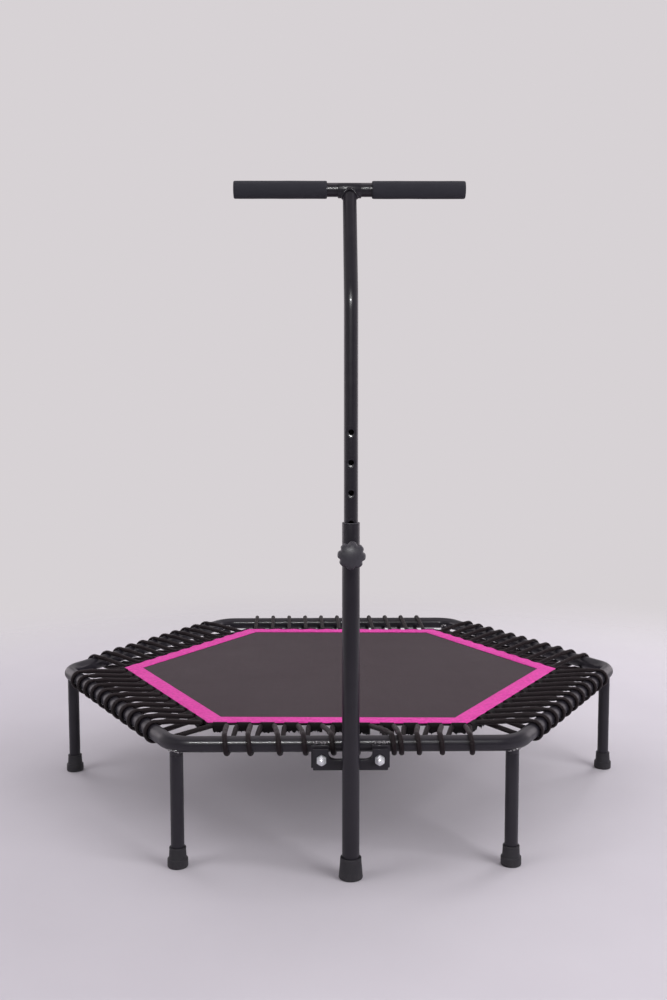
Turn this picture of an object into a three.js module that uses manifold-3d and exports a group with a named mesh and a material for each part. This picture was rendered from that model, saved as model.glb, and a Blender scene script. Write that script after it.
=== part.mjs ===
// Hexagonal mini trampoline with a height-adjustable T-handle.
// Millimetres, +Z up, the handle on the -Y side.
// The origin is on the floor, under the middle of the whole object.

import * as THREE from 'three';
import { mergeVertices } from 'three/addons/utils/BufferGeometryUtils.js';
import Module from 'manifold-3d';

const wasm = await Module();
wasm.setup();

// ---------- driving dimensions ----------

const gap = 0.3; // between pieces that touch
const overcut = 2; // how far a cutting solid runs past the face that it cuts

const frame = {
  sides: 6,
  apothem: 558, // middle of the hexagon to the centre line of a side
  cornerRadius: 60, // centre line of the corner bends
  tubeRadius: 15,
  wall: 1.5,
  height: 239.5, // centre line above the floor
  ventRadius: 3,
};

const leg = {
  reach: 632, // middle of the hexagon to a leg
  radius: 12.7,
  wall: 1.5,
  top: 217,
  bottom: 4,
  bushLength: 30, // threaded bush in the leg's top end
  studRadius: 7.7,
  studLength: 26,
};

const foot = { radius: 19.6, stepHeight: 17, sleeveRadius: 15.2, height: 38.5, soleThickness: 3.7 };

const mat = {
  outerRadius: 513, // corner to middle
  innerRadius: 469, // inside corner of the coloured border
  twist: -1.5, // degrees that the lacing turns the mat in its frame
  bottom: 242.5,
  thickness: 2,
  seat: 0.3, // how far the sewn border presses the mat's edge down
  borderThickness: 1.4,
};

const lace = {
  perSide: 11,
  radius: 5,
  framePitch: 46, // between wraps round the frame
  matPitch: 47, // between loops along the mat
  matShift: -3,
  loopHalf: 13, // half of the run inside one webbing loop
  matApothem: 449,
  matHeight: 235.5,
  wrapRadius: 21.8,
  advance: 3, // half of a wrap's lead along the tube
  wrapStart: 100, // degrees above the outward direction where the cord meets the tube
  wrapSteps: 5,
  // The wraps on the handle's side stand clear of the bracket's two ears.
  frontWraps: [-222, -178, -123, -75, -23, 22, 90, 104, 137, 180, 236],
};

const band = { inner: 418, outer: 442, mitreGap: 1, bottom: 240, thickness: 2.2 };

const handle = {
  x: 10,
  y: -602,
  postRadius: 16,
  postWall: 1.8,
  postTop: 658,
  postBottom: 4.3,
  tubeRadius: 12.7,
  tubeWall: 1.5,
  tubeBottom: 515,
  bendHeight: 1058,
  bendRadius: 90,
  lean: 27, // degrees of the top stretch, towards the mat
  barHeight: 1264,
  barHalf: 207,
  gripInner: 41.5,
  gripOuter: 213,
  gripRadius: 16.3,
  saddleHalf: 21.5,
  saddleThickness: 2.2,
  saddleWrap: 210, // degrees round the bar
  plugLength: 18,
  plugHead: 2.5,
};

const lock = {
  height: 606,
  holePitch: 54,
  holes: 5,
  holeRadius: 5,
  pinRadius: 4,
  pinLength: 7,
  stemRadius: 4.7,
  postHoleRadius: 6.7, // in the post, behind the boss
  bossRadius: 10.5,
  bossReach: 26.5, // all reaches run from the post's centre line
  knobBack: 34.5,
  knobFront: 52,
  domeFront: 60,
  knobRadius: 22.3,
  lobeDepth: 2.7,
  lobes: 8,
};

const bracket = {
  plate: 6,
  frameHalf: 73,
  frameBottom: 200,
  frameTop: 243,
  postHalf: 69.5,
  postBottom: 197.5,
  postTop: 237.5,
  notchHalf: 40.5,
  notchBottom: 216.5,
  notchRadius: 16,
  corner: 4, // cut off each lower corner
  boltSpacing: 107.5,
  boltHeight: 217.8,
  boltRadius: 4.75,
  holeRadius: 5.3,
  nutFlat: 8.5, // half of the hexagon across its flats
  headThickness: 6.2,
  nutThickness: 8,
  boltPastNut: 2, // into the nut's dome
  domeRadius: 7.6,
};

const postFoot = { bottomRadius: 22.5, topRadius: 19.3, height: 40 };
const bushing = { length: 38, flange: 1.8 };

// ---------- materials ----------

function material(color, roughness, metalness = 0) {
  return new THREE.MeshStandardMaterial({ color, roughness, metalness });
}

const steelBlack = () => material(0x1d1c20, 0.35, 0.6);
const chrome = () => material(0xd8d8da, 0.18, 1);
const rubber = () => material(0x18181a, 0.8);
const plastic = () => material(0x1c1c20, 0.45);
const foam = () => material(0x232428, 0.95);
const jumpFabric = () => material(0x3a3537, 0.85);
const borderVinyl = () => material(0xd42c96, 0.55);
const cordFabric = () => material(0x141416, 0.75);

// ---------- tools ----------

const radians = THREE.MathUtils.degToRad;

// A three.js geometry as a solid that can be cut and joined.
function solid(geometry) {
  const bare = geometry.clone();
  bare.deleteAttribute('normal');
  bare.deleteAttribute('uv');
  const merged = mergeVertices(bare, 1e-3);
  return new wasm.Manifold(new wasm.Mesh({
    numProp: 3,
    vertProperties: Float32Array.from(merged.attributes.position.array),
    triVerts: Uint32Array.from(merged.index.array),
  }));
}

function geometryOf(body) {
  const mesh = body.getMesh();
  const geometry = new THREE.BufferGeometry();
  geometry.setAttribute('position', new THREE.BufferAttribute(mesh.vertProperties, 3));
  geometry.setIndex(new THREE.BufferAttribute(mesh.triVerts, 1));
  return geometry;
}

// A solid of revolution about +Z, from [radius, height] pairs that run anticlockwise.
function turned(profile, segments = 20) {
  const points = profile.map(([radius, height]) => new THREE.Vector2(radius, height));
  return new THREE.LatheGeometry(points, segments).rotateX(Math.PI / 2);
}

const rod = (radius, low, high, segments = 20) =>
  turned([[0, low], [radius, low], [radius, high], [0, high]], segments);

const pipe = (outer, inner, low, high, segments = 20) =>
  turned([[inner, low], [outer, low], [outer, high], [inner, high], [inner, low]], segments);

// Turns a piece made along +Z so that it runs along -Y, out of the front of the post.
const facingFront = (geometry) => geometry.rotateX(Math.PI / 2);

function polygonShape(corners) {
  return new THREE.Shape(corners.map(([x, y]) => new THREE.Vector2(x, y)));
}

function slab(shape, low, high) {
  return new THREE.ExtrudeGeometry(shape, { depth: high - low, bevelEnabled: false }).translate(0, 0, low);
}

function hexagonCorners(radius) {
  return Array.from({ length: frame.sides }, (_, k) => {
    const angle = (k * 2 * Math.PI) / frame.sides;
    return [radius * Math.cos(angle), radius * Math.sin(angle)];
  });
}

function circleShape(radius, sides, holeRadius = 0) {
  const shape = new THREE.Shape();
  const around = (r) => Array.from({ length: sides }, (_, k) => {
    const angle = (k * 2 * Math.PI) / sides;
    return new THREE.Vector2(r * Math.cos(angle), r * Math.sin(angle));
  });
  shape.setFromPoints(around(radius));
  if (holeRadius > 0) shape.holes.push(new THREE.Path(around(holeRadius)));
  return shape;
}

// A route of straight steps between points, sampled at exactly those points.
class Route extends THREE.Curve {
  constructor(points) {
    super();
    this.points = points;
  }

  getPoint(t, target = new THREE.Vector3()) {
    const place = t * (this.points.length - 1);
    const index = Math.min(Math.floor(place + 1e-6), this.points.length - 2);
    return target.lerpVectors(this.points[index], this.points[index + 1], place - index);
  }

  getPointAt(t, target) {
    return this.getPoint(t, target);
  }

  getTangentAt(t, target = new THREE.Vector3()) {
    const index = Math.round(t * (this.points.length - 1));
    const before = this.points[Math.max(index - 1, 0)];
    const after = this.points[Math.min(index + 1, this.points.length - 1)];
    return target.subVectors(after, before).normalize();
  }
}

function tubeAlong(points, shape) {
  return new THREE.ExtrudeGeometry(shape, { steps: points.length - 1, extrudePath: new Route(points) });
}

// The frame's closed centre line: an arc at each corner, one straight step along each side.
class FrameLoop extends THREE.Curve {
  constructor(stepsPerCorner) {
    super();
    this.stepsPerCorner = stepsPerCorner;
    this.count = frame.sides * (stepsPerCorner + 1);
  }

  heading(index) {
    const corner = Math.floor(index / (this.stepsPerCorner + 1));
    const step = index % (this.stepsPerCorner + 1);
    const cornerAngle = 360 / frame.sides;
    return { corner, angle: radians(cornerAngle * (corner + step / this.stepsPerCorner - 0.5)) };
  }

  getPointAt(t, target = new THREE.Vector3()) {
    const { corner, angle } = this.heading(Math.round(t * this.count) % this.count);
    const centre = (frame.apothem - frame.cornerRadius) / Math.cos(Math.PI / frame.sides);
    const towards = (corner * 2 * Math.PI) / frame.sides;
    return target.set(
      centre * Math.cos(towards) + frame.cornerRadius * Math.cos(angle),
      centre * Math.sin(towards) + frame.cornerRadius * Math.sin(angle),
      frame.height,
    );
  }

  getTangentAt(t, target = new THREE.Vector3()) {
    const { angle } = this.heading(Math.round(t * this.count) % this.count);
    return target.set(-Math.sin(angle), Math.cos(angle), 0);
  }
}

function frameTube(radius, radialSides) {
  const loop = new FrameLoop(5);
  return new THREE.TubeGeometry(loop, loop.count, radius, radialSides, true);
}

const trampoline = new THREE.Group();

function add(name, geometry, material, parent = trampoline) {
  const mesh = new THREE.Mesh(geometry, material);
  mesh.name = name;
  parent.add(mesh);
  return mesh;
}

const legAngle = (k) => (k * 2 * Math.PI) / frame.sides;
const legPlace = (k) => [leg.reach * Math.cos(legAngle(k)), leg.reach * Math.sin(legAngle(k))];

// ---------- frame and legs ----------

function frameRing() {
  const outer = solid(frameTube(frame.tubeRadius, 18));
  const inner = solid(frameTube(frame.tubeRadius - frame.wall, 10));
  let ring = outer.subtract(inner);
  for (let k = 0; k < frame.sides; k += 1) {
    const [x, y] = legPlace(k);
    const vent = rod(frame.ventRadius, frame.height - frame.tubeRadius - overcut, frame.height, 8);
    ring = ring.subtract(solid(vent.translate(x, y, 0)));
  }
  return geometryOf(ring);
}

// A short stub, welded to the underside of a corner, with the stud that the leg screws onto.
function legStub(k) {
  const [x, y] = legPlace(k);
  const shape = turned([
    [0, leg.top - leg.studLength], [leg.studRadius, leg.top - leg.studLength], [leg.studRadius, leg.top],
    [leg.radius, leg.top], [leg.radius, frame.height], [0, frame.height],
  ]);
  const clearance = solid(frameTube(frame.tubeRadius + gap, 18));
  const cut = solid(shape.translate(x, y, 0)).subtract(clearance);
  const below = cut.decompose().sort((a, b) => b.volume() - a.volume())[0];
  return geometryOf(below);
}

function legTube() {
  const bore = leg.radius - leg.wall;
  const bushRadius = leg.studRadius + gap;
  const top = leg.top - gap;
  const bushBottom = top - leg.bushLength;
  return turned([
    [bore, leg.bottom], [leg.radius, leg.bottom], [leg.radius, top], [bushRadius, top],
    [bushRadius, bushBottom], [bore, bushBottom], [bore, leg.bottom],
  ]);
}

function legFoot() {
  const bore = leg.radius + gap;
  return turned([
    [0, 0], [foot.radius - 1, 0], [foot.radius, 2], [foot.radius - 0.5, foot.stepHeight - 2],
    [foot.radius - 2, foot.stepHeight], [foot.sleeveRadius + 0.3, foot.stepHeight + 1.5],
    [foot.sleeveRadius, foot.height], [bore, foot.height],
    [bore, foot.soleThickness], [0, foot.soleThickness],
  ]);
}

function addFrame() {
  add('frame_ring', frameRing(), steelBlack());
  for (let k = 0; k < frame.sides; k += 1) {
    const [x, y] = legPlace(k);
    add(`leg_stub_${k + 1}`, legStub(k), steelBlack());
    add(`leg_${k + 1}`, legTube(), steelBlack()).position.set(x, y, 0);
    add(`leg_foot_${k + 1}`, legFoot(), rubber()).position.set(x, y, 0);
  }
}

// ---------- bracket that joins the handle to the frame ----------

// A plate seen from the front: two ears, a bolt hole in each, and a round-cornered notch between them.
function earedPlate(half, bottom, top, back) {
  const { notchHalf, notchBottom, notchRadius, corner } = bracket;
  const arcMiddle = notchHalf - notchRadius;
  const arcHeight = notchBottom + notchRadius;
  const down = -Math.PI / 2;
  const shape = new THREE.Shape();
  shape.moveTo(-half + corner, bottom);
  shape.lineTo(half - corner, bottom);
  shape.lineTo(half, bottom + corner);
  shape.lineTo(half, top);
  shape.lineTo(notchHalf, top);
  shape.lineTo(notchHalf, arcHeight);
  shape.absarc(arcMiddle, arcHeight, notchRadius, 0, down, true);
  shape.lineTo(-arcMiddle, notchBottom);
  shape.absarc(-arcMiddle, arcHeight, notchRadius, down, -Math.PI, true);
  shape.lineTo(-notchHalf, top);
  shape.lineTo(-half, top);
  shape.lineTo(-half, bottom + corner);
  for (const side of [-1, 1]) {
    const x = (side * bracket.boltSpacing) / 2;
    const hole = new THREE.Path();
    hole.absarc(x, bracket.boltHeight, bracket.holeRadius, 0, 2 * Math.PI, true);
    shape.holes.push(hole);
  }
  const options = { depth: bracket.plate, bevelEnabled: false, curveSegments: 6 };
  return new THREE.ExtrudeGeometry(shape, options).rotateX(Math.PI / 2).translate(handle.x, back, 0);
}

const hexagonPrism = (flat, low, high) =>
  slab(polygonShape(hexagonCorners(flat / Math.cos(Math.PI / frame.sides))), low, high);

const frameFront = -frame.apothem - frame.tubeRadius;
const framePlateBack = frameFront - gap;
const postPlateBack = framePlateBack - bracket.plate - gap;
const nutBack = postPlateBack - bracket.plate - gap;

// A bolt along -Y whose head bears on the back of the frame's plate.
function bracketBolt() {
  const headFace = -gap;
  const shankLength = 2 * (bracket.plate + gap) + bracket.nutThickness + bracket.boltPastNut;
  const head = hexagonPrism(bracket.nutFlat, -bracket.headThickness + headFace, headFace);
  const shank = rod(bracket.boltRadius, -bracket.headThickness / 2, shankLength, 16);
  return facingFront(geometryOf(solid(head).add(solid(shank))));
}

function domedNut() {
  const { nutFlat, nutThickness, domeRadius, boltRadius, boltPastNut } = bracket;
  const arc = Array.from({ length: 5 }, (_, k) => {
    const angle = (k * Math.PI) / 8;
    return [domeRadius * Math.cos(angle), nutThickness + domeRadius * Math.sin(angle)];
  });
  arc[arc.length - 1][0] = 0;
  const root = nutThickness - overcut;
  const dome = turned([[0, root], [domeRadius, root], ...arc], 16);
  const bore = rod(boltRadius + gap, -overcut, nutThickness + boltPastNut + 1, 16);
  const body = solid(hexagonPrism(nutFlat, 0, nutThickness)).add(solid(dome)).subtract(solid(bore));
  return facingFront(geometryOf(body));
}

function addBracket() {
  const { frameHalf, frameBottom, frameTop, postHalf, postBottom, postTop } = bracket;
  add('frame_bracket', earedPlate(frameHalf, frameBottom, frameTop, framePlateBack), steelBlack());
  add('post_bracket', earedPlate(postHalf, postBottom, postTop, postPlateBack), steelBlack());
  for (const [name, side] of [['left', -1], ['right', 1]]) {
    const x = handle.x + (side * bracket.boltSpacing) / 2;
    const bolt = add(`bracket_bolt_${name}`, bracketBolt(), chrome());
    bolt.position.set(x, framePlateBack + gap, bracket.boltHeight);
    const nut = add(`bracket_nut_${name}`, domedNut(), chrome());
    nut.position.set(x, nutBack, bracket.boltHeight);
  }
}

// ---------- lower post ----------

function lowerPost() {
  const { postRadius, postWall, postBottom, postTop } = handle;
  const tube = solid(pipe(postRadius, postRadius - postWall, postBottom, postTop));
  const pinHole = facingFront(rod(lock.postHoleRadius, 0, postRadius + overcut, 16));
  return geometryOf(tube.subtract(solid(pinHole.translate(0, 0, lock.height))));
}

function postFootCap() {
  const bore = handle.postRadius + gap;
  const sole = handle.postBottom - gap;
  return turned([
    [0, 0], [postFoot.bottomRadius - 1.5, 0], [postFoot.bottomRadius, 1.5],
    [postFoot.topRadius, postFoot.height - 1], [postFoot.topRadius - 1, postFoot.height],
    [bore, postFoot.height], [bore, sole], [0, sole],
  ]);
}

// A plastic sleeve in the mouth of the post, with a thin flange on its rim.
function postBushing() {
  const outer = handle.postRadius - handle.postWall - gap;
  const inner = handle.tubeRadius + gap;
  const rim = handle.postTop + gap;
  const bottom = rim - bushing.length;
  const top = rim + bushing.flange;
  return turned([
    [inner, bottom], [outer, bottom], [outer, rim], [handle.postRadius, rim],
    [handle.postRadius - 0.5, top], [inner, top], [inner, bottom],
  ]);
}

// The threaded boss that is welded to the front of the post.
function knobBoss() {
  const ring = pipe(lock.bossRadius, lock.stemRadius + gap, 0, lock.bossReach);
  const front = solid(facingFront(ring).translate(0, 0, lock.height));
  const beyond = lock.bossRadius + overcut;
  const post = solid(rod(handle.postRadius + gap, lock.height - beyond, lock.height + beyond));
  return geometryOf(front.subtract(post));
}

function addPost() {
  const post = new THREE.Group();
  post.position.set(handle.x, handle.y, 0);
  trampoline.add(post);
  add('lower_post', lowerPost(), steelBlack(), post);
  add('post_foot', postFootCap(), rubber(), post);
  add('post_bushing', postBushing(), plastic(), post);
  add('knob_boss', knobBoss(), steelBlack(), post);
}

// ---------- lock knob ----------
// It is drawn backed off, with its nose just clear of the sliding tube and in line with a hole.

const pinTip = handle.tubeRadius + gap;
const stemTip = pinTip + lock.pinLength + gap;
const knobBoreEnd = lock.knobFront - 3;

function lockPin() {
  return turned([
    [0, pinTip], [lock.pinRadius - 1, pinTip], [lock.pinRadius, pinTip + 1],
    [lock.pinRadius, pinTip + lock.pinLength], [0, pinTip + lock.pinLength],
  ], 16);
}

function lockKnob() {
  const { knobBack, knobFront, domeFront, knobRadius, lobeDepth, lobes, stemRadius } = lock;
  const outline = Array.from({ length: lobes * 8 }, (_, k) => {
    const angle = (k * 2 * Math.PI) / (lobes * 8);
    const radius = knobRadius + lobeDepth * Math.cos(lobes * angle);
    return [radius * Math.cos(angle), radius * Math.sin(angle)];
  });
  const body = solid(slab(polygonShape(outline), knobBack, knobFront));
  const domeRadius = knobRadius - lobeDepth;
  const arc = Array.from({ length: 6 }, (_, k) => {
    const angle = (k * Math.PI) / 10;
    return [domeRadius * Math.cos(angle), knobFront + (domeFront - knobFront) * Math.sin(angle)];
  });
  arc[arc.length - 1][0] = 0;
  const dome = solid(turned([[0, knobFront - 1], [domeRadius, knobFront - 1], ...arc]));
  const bore = solid(rod(stemRadius + gap, knobBack - overcut, knobBoreEnd, 16));
  return geometryOf(body.add(dome).subtract(bore));
}

function addLock() {
  const assembly = new THREE.Group();
  assembly.position.set(handle.x, handle.y, lock.height);
  trampoline.add(assembly);
  const stem = rod(lock.stemRadius, stemTip, knobBoreEnd - gap, 16);
  add('lock_pin', facingFront(lockPin()), chrome(), assembly);
  add('lock_stem', facingFront(stem), chrome(), assembly);
  add('lock_knob', facingFront(lockKnob()), plastic(), assembly);
}

// ---------- sliding handle ----------

const lean = radians(handle.lean);
const barY = (handle.barHeight - handle.bendHeight) * Math.tan(lean);
const saddleRadius = handle.tubeRadius + gap + handle.saddleThickness;

function upperTube() {
  const setBack = handle.bendRadius * Math.tan(lean / 2);
  const arcStart = handle.bendHeight - setBack;
  const points = [new THREE.Vector3(0, 0, handle.tubeBottom)];
  const arcSteps = 6;
  for (let k = 0; k <= arcSteps; k += 1) {
    const angle = (lean * k) / arcSteps;
    const y = handle.bendRadius * (1 - Math.cos(angle));
    points.push(new THREE.Vector3(0, y, arcStart + handle.bendRadius * Math.sin(angle)));
  }
  points.push(new THREE.Vector3(0, barY, handle.barHeight));
  const section = circleShape(handle.tubeRadius, 20, handle.tubeRadius - handle.tubeWall);
  let tube = solid(tubeAlong(points, section));
  for (let k = 0; k < lock.holes; k += 1) {
    const hole = facingFront(rod(lock.holeRadius, 0, handle.tubeRadius + overcut, 10));
    tube = tube.subtract(solid(hole.translate(0, 0, lock.height + k * lock.holePitch)));
  }
  const bar = rod(saddleRadius + gap, -handle.gripInner, handle.gripInner).rotateY(Math.PI / 2);
  return geometryOf(tube.subtract(solid(bar.translate(0, barY, handle.barHeight))));
}

// The curved plate under the middle of the bar that the tube is welded to.
function barSaddle() {
  const half = radians(handle.saddleWrap / 2);
  const shape = new THREE.Shape();
  shape.absarc(0, 0, saddleRadius, -half, half, false);
  shape.absarc(0, 0, handle.tubeRadius + gap, half, -half, true);
  const options = { depth: 2 * handle.saddleHalf, bevelEnabled: false, curveSegments: 14 };
  return new THREE.ExtrudeGeometry(shape, options)
    .translate(0, 0, -handle.saddleHalf)
    .rotateY(Math.PI / 2)
    .rotateX(-lean);
}

const alongBar = (geometry, side) => geometry.rotateY((side * Math.PI) / 2);

function gripSleeve() {
  const { gripInner, gripOuter, gripRadius, tubeRadius } = handle;
  const inner = tubeRadius + gap;
  return turned([
    [inner, gripInner], [gripRadius - 1, gripInner], [gripRadius, gripInner + 1],
    [gripRadius, gripOuter - 1], [gripRadius - 1, gripOuter], [inner, gripOuter], [inner, gripInner],
  ]);
}

function barPlug() {
  const end = handle.barHalf + gap;
  const spigot = handle.tubeRadius - handle.tubeWall - gap;
  const inside = end - handle.plugLength;
  const outside = end + handle.plugHead;
  return turned([
    [0, inside], [spigot, inside], [spigot, end], [handle.tubeRadius - 0.2, end],
    [handle.tubeRadius - 0.8, outside], [0, outside],
  ]);
}

function addHandle() {
  const mast = new THREE.Group();
  mast.position.set(handle.x, handle.y, 0);
  trampoline.add(mast);
  add('upper_tube', upperTube(), steelBlack(), mast);

  const bar = new THREE.Group();
  bar.position.set(0, barY, handle.barHeight);
  mast.add(bar);
  const { tubeRadius, tubeWall, barHalf } = handle;
  const barTube = pipe(tubeRadius, tubeRadius - tubeWall, -barHalf, barHalf);
  add('crossbar', alongBar(barTube, 1), steelBlack(), bar);
  add('bar_saddle', barSaddle(), steelBlack(), bar);
  for (const [name, side] of [['left', -1], ['right', 1]]) {
    add(`grip_${name}`, alongBar(gripSleeve(), side), foam(), bar);
    add(`bar_plug_${name}`, alongBar(barPlug(), side), plastic(), bar);
  }
}

// ---------- mat and lacing ----------

const sideHeading = (k) => ((k + 0.5) * 2 * Math.PI) / frame.sides;
const frontSide = 4; // the side whose outward direction is -Y

// A point u along side k and v out from the middle, turned by the mat's twist if it is on the mat.
function onSide(k, u, v, z, twist = 0) {
  const heading = sideHeading(k) + radians(twist);
  return new THREE.Vector3(
    v * Math.cos(heading) - u * Math.sin(heading),
    v * Math.sin(heading) + u * Math.cos(heading),
    z,
  );
}

const loopPlace = (j) => (j - (lace.perSide - 1) / 2) * lace.matPitch + lace.matShift;
const evenWrap = (j) => (j - (lace.perSide - 1) / 2) * lace.framePitch;
const wrapPlace = (k, j) => (k === frontSide ? lace.frontWraps[j] : evenWrap(j));

// One side's bungee cord: through a loop of the mat, over, round and under the frame, to the next loop.
function lacing(k) {
  const { wrapSteps, wrapStart } = lace;
  const points = [];
  for (let j = 0; j < lace.perSide; j += 1) {
    const loop = loopPlace(j);
    const wrap = wrapPlace(k, j);
    points.push(onSide(k, loop - lace.loopHalf, lace.matApothem, lace.matHeight, mat.twist));
    points.push(onSide(k, loop + lace.loopHalf, lace.matApothem, lace.matHeight, mat.twist));
    for (let step = 0; step <= wrapSteps; step += 1) {
      const turn = radians(wrapStart - (2 * wrapStart * step) / wrapSteps);
      const u = wrap + lace.advance * (2 * (step / wrapSteps) - 1);
      const v = frame.apothem + lace.wrapRadius * Math.cos(turn);
      points.push(onSide(k, u, v, frame.height + lace.wrapRadius * Math.sin(turn)));
    }
  }
  const next = (k + 1) % frame.sides;
  const end = onSide(next, loopPlace(0) - lace.loopHalf, lace.matApothem, lace.matHeight, mat.twist);
  const last = points[points.length - 1];
  const clearance = 2 * lace.radius + 2;
  points.push(end.clone().sub(last).setLength(end.distanceTo(last) - clearance).add(last));
  return tubeAlong(points, circleShape(lace.radius, 5));
}

// The webbing strip under one edge of the mat that carries the cord's loops, mitred at the mat's corners.
function loopBand(k) {
  const half = (v) => v * Math.tan(Math.PI / frame.sides) - band.mitreGap;
  const { inner, outer } = band;
  const shape = polygonShape([
    [inner, -half(inner)], [outer, -half(outer)], [outer, half(outer)], [inner, half(inner)],
  ]);
  return slab(shape, band.bottom, band.bottom + band.thickness).rotateZ(sideHeading(k));
}

// The jumping mat: full thickness inside the border, a little thinner under it.
function matPanel() {
  const top = mat.bottom + mat.thickness;
  const edge = slab(polygonShape(hexagonCorners(mat.outerRadius)), mat.bottom, top - mat.seat);
  const field = slab(polygonShape(hexagonCorners(mat.innerRadius - gap)), mat.bottom + mat.seat, top);
  return geometryOf(solid(edge).add(solid(field)));
}

function matBorder() {
  const shape = polygonShape(hexagonCorners(mat.outerRadius));
  const inside = hexagonCorners(mat.innerRadius).map(([x, y]) => new THREE.Vector2(x, y));
  shape.holes.push(new THREE.Path(inside));
  const bottom = mat.bottom + mat.thickness - mat.seat + gap;
  return slab(shape, bottom, bottom + mat.borderThickness);
}

function addMat() {
  const laced = new THREE.Group();
  laced.rotation.z = radians(mat.twist);
  trampoline.add(laced);
  add('mat_panel', matPanel(), jumpFabric(), laced);
  add('mat_border', matBorder(), borderVinyl(), laced);
  for (let k = 0; k < frame.sides; k += 1) {
    add(`loop_band_${k + 1}`, loopBand(k), cordFabric(), laced);
    add(`bungee_cord_${k + 1}`, lacing(k), cordFabric());
  }
}

// ---------- assembly ----------

addFrame();
addBracket();
addPost();
addLock();
addHandle();
addMat();

// The origin goes under the middle of the whole object.
const extent = new THREE.Box3().setFromObject(trampoline);
trampoline.position.y = -(extent.min.y + extent.max.y) / 2;

export default trampoline;
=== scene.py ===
"""Looks of a hexagonal mini trampoline with a height-adjustable T-handle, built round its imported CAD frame.

Everything is in metres, +Z up, with the handle on the -Y side. Most places come from the CAD nodes'
boxes, and the sizes below are those of the real pieces.
"""

import math
import random

import bmesh
import bpy
from mathutils import Matrix, Vector, noise


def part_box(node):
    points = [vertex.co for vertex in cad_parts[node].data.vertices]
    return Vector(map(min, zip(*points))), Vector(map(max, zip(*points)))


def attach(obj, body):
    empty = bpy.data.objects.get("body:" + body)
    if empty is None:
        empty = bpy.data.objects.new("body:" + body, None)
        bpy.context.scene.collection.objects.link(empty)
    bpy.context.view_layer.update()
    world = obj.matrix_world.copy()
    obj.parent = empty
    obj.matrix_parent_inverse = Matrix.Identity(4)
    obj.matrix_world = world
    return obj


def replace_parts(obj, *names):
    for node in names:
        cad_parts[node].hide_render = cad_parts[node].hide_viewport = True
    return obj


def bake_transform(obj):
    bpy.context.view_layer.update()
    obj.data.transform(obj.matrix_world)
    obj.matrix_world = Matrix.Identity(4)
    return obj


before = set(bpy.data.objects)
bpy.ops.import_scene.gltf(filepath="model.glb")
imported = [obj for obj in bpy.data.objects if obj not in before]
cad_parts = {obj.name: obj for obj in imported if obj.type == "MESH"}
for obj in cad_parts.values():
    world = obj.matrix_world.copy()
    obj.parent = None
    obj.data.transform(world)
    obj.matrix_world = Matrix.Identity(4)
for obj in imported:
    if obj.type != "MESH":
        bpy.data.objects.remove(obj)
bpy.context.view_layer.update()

# ---------- sizes ----------

SIDES = 6
STEP = 2 * math.pi / SIDES
TWIST = math.radians(-1.5)  # how far the lacing turns the mat in its frame
GAP = 0.0003  # between pieces that touch

TUBE_RADIUS = 0.015  # the frame's tube
CORNER_RADIUS = 0.060  # centre line of the frame's bends
LEG_RADIUS = 0.0127
LEG_REACH = 0.632  # middle of the hexagon to a leg
STUD_RADIUS = 0.0077
BUSH_LENGTH = 0.030  # in the top of each leg, round the stud
WALL = 0.0015  # of the legs and the handle

MAT_CORNER = 0.513  # middle to the border's outer corners
BORDER_INNER_CORNER = 0.469
MAT_THICKNESS = 0.002
EDGE_WAVE = 0.0015  # how far each loop pulls the border's edge out
EDGE_RIPPLE = 0.0005  # and up
STITCH_INSET = 0.004
STITCH_PITCH = 0.0065
STITCH_LENGTH = 0.0048
THREAD_RADIUS = 0.00045

LOOPS = 11  # webbing loops along each side
LOOP_PITCH = 0.047
LOOP_SHIFT = -0.010
FRONT_LOOP_SHIFT = 0.003
LOOP_WIDTH = 0.028
WEBBING_INNER = 0.418  # middle of the mat to the strip's two edges
WEBBING_OUTER = 0.4455
WEBBING_THICKNESS = 0.0016
CORD_RADIUS = 0.0050
CORD_PRESS = 0.3  # share of its thickness that a cord loses where it lies on the tube
CORD_RUN = 0.0135  # half of the cord's run inside one loop
CORD_OUT = 0.4485  # middle of the mat to that run
CORD_HEIGHT = 0.2405
WRAP_PITCH = 0.046
WRAP_RADIUS = TUBE_RADIUS + CORD_RADIUS + GAP
WRAP_LEAD = 0.003  # half of a wrap's travel along the tube
FRONT_SIDE = 4
# Wraps on the handle's side stand clear of the bracket's two ears.
FRONT_WRAPS = (-0.222, -0.178, -0.123, -0.075, -0.023, 0.022, 0.090, 0.104, 0.137, 0.180, 0.236)

POST_RADIUS = 0.016
POST_WALL = 0.0018
HANDLE_RADIUS = 0.0127
BEND_HEIGHT = 1.058
BEND_RADIUS = 0.090
LEAN = math.radians(27)
HOLE_PITCH = 0.054
HOLE_COUNT = 5
HOLE_RADIUS = 0.005
DIMPLE_RADIUS = 0.0088
DIMPLE_DEPTH = 0.00143
GRIP_RADIUS = 0.0161
SADDLE_THICKNESS = 0.0022

BOSS_RADIUS = 0.0105
SCREW_PITCH = 0.0015
SCREW_DEPTH = 0.0006
STEM_RADIUS = 0.0047
LOBES = 8
LOBE_TURN = 0.087
NOTCH_DEPTH = 0.0036  # between the knob's lobes

NUT_FLAT = 0.0085  # half of a bolt's or nut's hexagon across its flats
BOLT_RADIUS = 0.00475
BOLT_SPACING = 0.1075
BOLT_HEIGHT = 0.2178
BOLT_HOLE_RADIUS = 0.0053
FRAME_PLATE = (0.073, 0.200, 0.243)  # half width, bottom, top
POST_PLATE = (0.0695, 0.1975, 0.2375)
PLATE_THICKNESS = 0.006

WELD_RIPPLE = 0.0024
LEG_WELD = 0.0025
PLATE_WELD = 0.0026
SADDLE_WELD = 0.0031
BOSS_WELD = 0.0018

# ---------- places, from the frame ----------

ring_low, ring_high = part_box("frame_ring")
hub = (ring_low + ring_high) / 2
apothem = (ring_high.y - ring_low.y) / 2 - TUBE_RADIUS


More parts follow.
